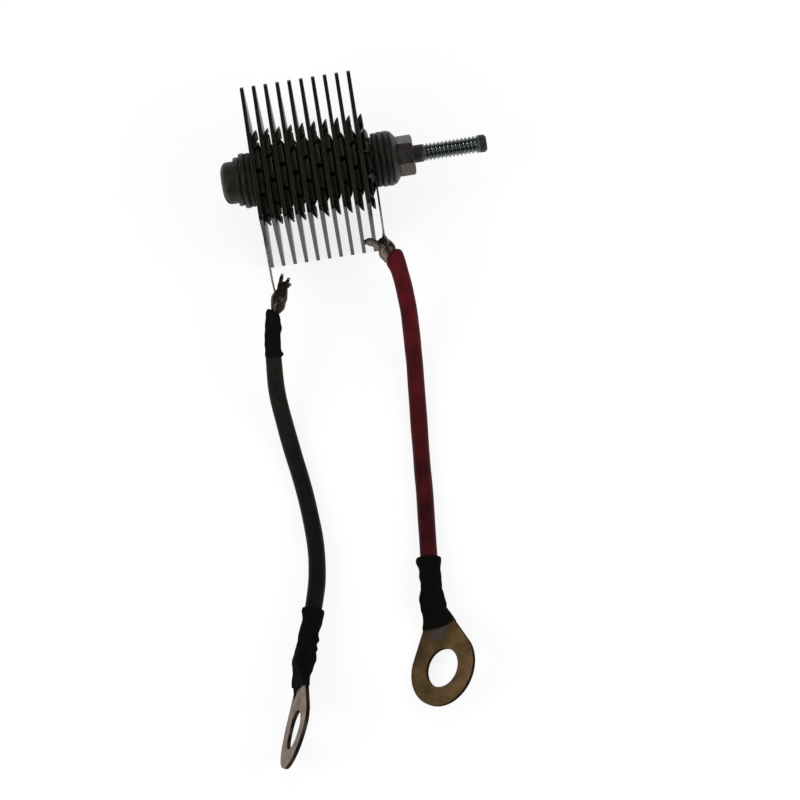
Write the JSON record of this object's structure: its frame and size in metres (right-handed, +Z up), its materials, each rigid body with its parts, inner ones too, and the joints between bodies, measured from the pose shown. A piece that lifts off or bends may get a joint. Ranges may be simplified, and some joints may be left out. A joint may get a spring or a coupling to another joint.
{
  "type": "generator surge suppressor",
  "caption": "Square rectifier plates stacked on an insulated threaded stud between washers, with a black and a red lead soldered to tags and ending in ring lugs.",
  "frame": {"origin": "on the stud's axis at the outer face of the nut, where the free threaded end begins", "axes": "+X along the stud out of its free end, +Z up from the plates' lower edges, -Y the side on which the tags and leads come out"},
  "size_m": [0.0791, 0.1771, 0.0382],
  "materials": {
    "varnished_cell": "dark brown-black varnish, satin",
    "spring_brass": "darkened spring brass, satin",
    "spacer_brass": "darkened brass, satin",
    "phenolic_tube": "dark phenolic, matte",
    "fibre": "varnished vulcanised fibre",
    "dark_steel": "steel under a thin dark varnish",
    "zinc_steel": "zinc plated steel, partly varnished",
    "tinned_tag": "tinned brass sheet",
    "solder": "dull tin-lead solder",
    "copper_strand": "bare copper strands",
    "black_pvc": "black insulation, slight sheen",
    "red_pvc": "dark red insulation, slight sheen",
    "black_sleeve": "black shrunk sleeving",
    "tinned_brass": "tinned brass, dull",
    "aged_brass": "aged brown brass"
  },
  "bodies": {
    "root": {"clamp_screw": "zinc_steel", "insulating_tube": "phenolic_tube", "cell_plate_1": "varnished_cell", "cell_plate_2": "varnished_cell", "cell_plate_3": "varnished_cell", "cell_plate_4": "varnished_cell", "cell_plate_5": "varnished_cell", "cell_plate_6": "varnished_cell", "cell_plate_7": "varnished_cell", "cell_plate_8": "varnished_cell", "cell_plate_9": "varnished_cell", "cell_plate_10": "varnished_cell", "contact_spring_1": "spring_brass", "contact_spring_2": "spring_brass", "contact_spring_3": "spring_brass", "contact_spring_4": "spring_brass", "contact_spring_5": "spring_brass", "contact_spring_6": "spring_brass", "contact_spring_7": "spring_brass", "contact_spring_8": "spring_brass", "contact_spring_9": "spring_brass", "contact_spring_10": "spring_brass", "spacer_1": "spacer_brass", "spacer_2": "spacer_brass", "spacer_3": "spacer_brass", "spacer_4": "spacer_brass", "spacer_5": "spacer_brass", "spacer_6": "spacer_brass", "spacer_7": "spacer_brass", "spacer_8": "spacer_brass", "spacer_9": "spacer_brass", "spacer_10": "spacer_brass", "small_flat_washer": "dark_steel", "left_flat_washer": "dark_steel", "left_fibre_washer": "fibre", "black_tag": "tinned_tag", "red_tag": "tinned_tag", "right_fibre_washer": "fibre", "inner_flat_washer": "dark_steel", "outer_flat_washer": "dark_steel", "cupped_washer": "dark_steel", "hex_nut": "zinc_steel", "black_strands": "copper_strand", "black_solder": "solder", "black_lead": "black_pvc", "black_start_sleeve": "black_sleeve", "black_lug_sleeve": "black_sleeve", "black_lug": "tinned_brass", "red_strands": "copper_strand", "red_solder": "solder", "red_lead": "red_pvc", "red_lug_sleeve": "black_sleeve", "red_lug": "aged_brass"}
  },
  "joints": []
}
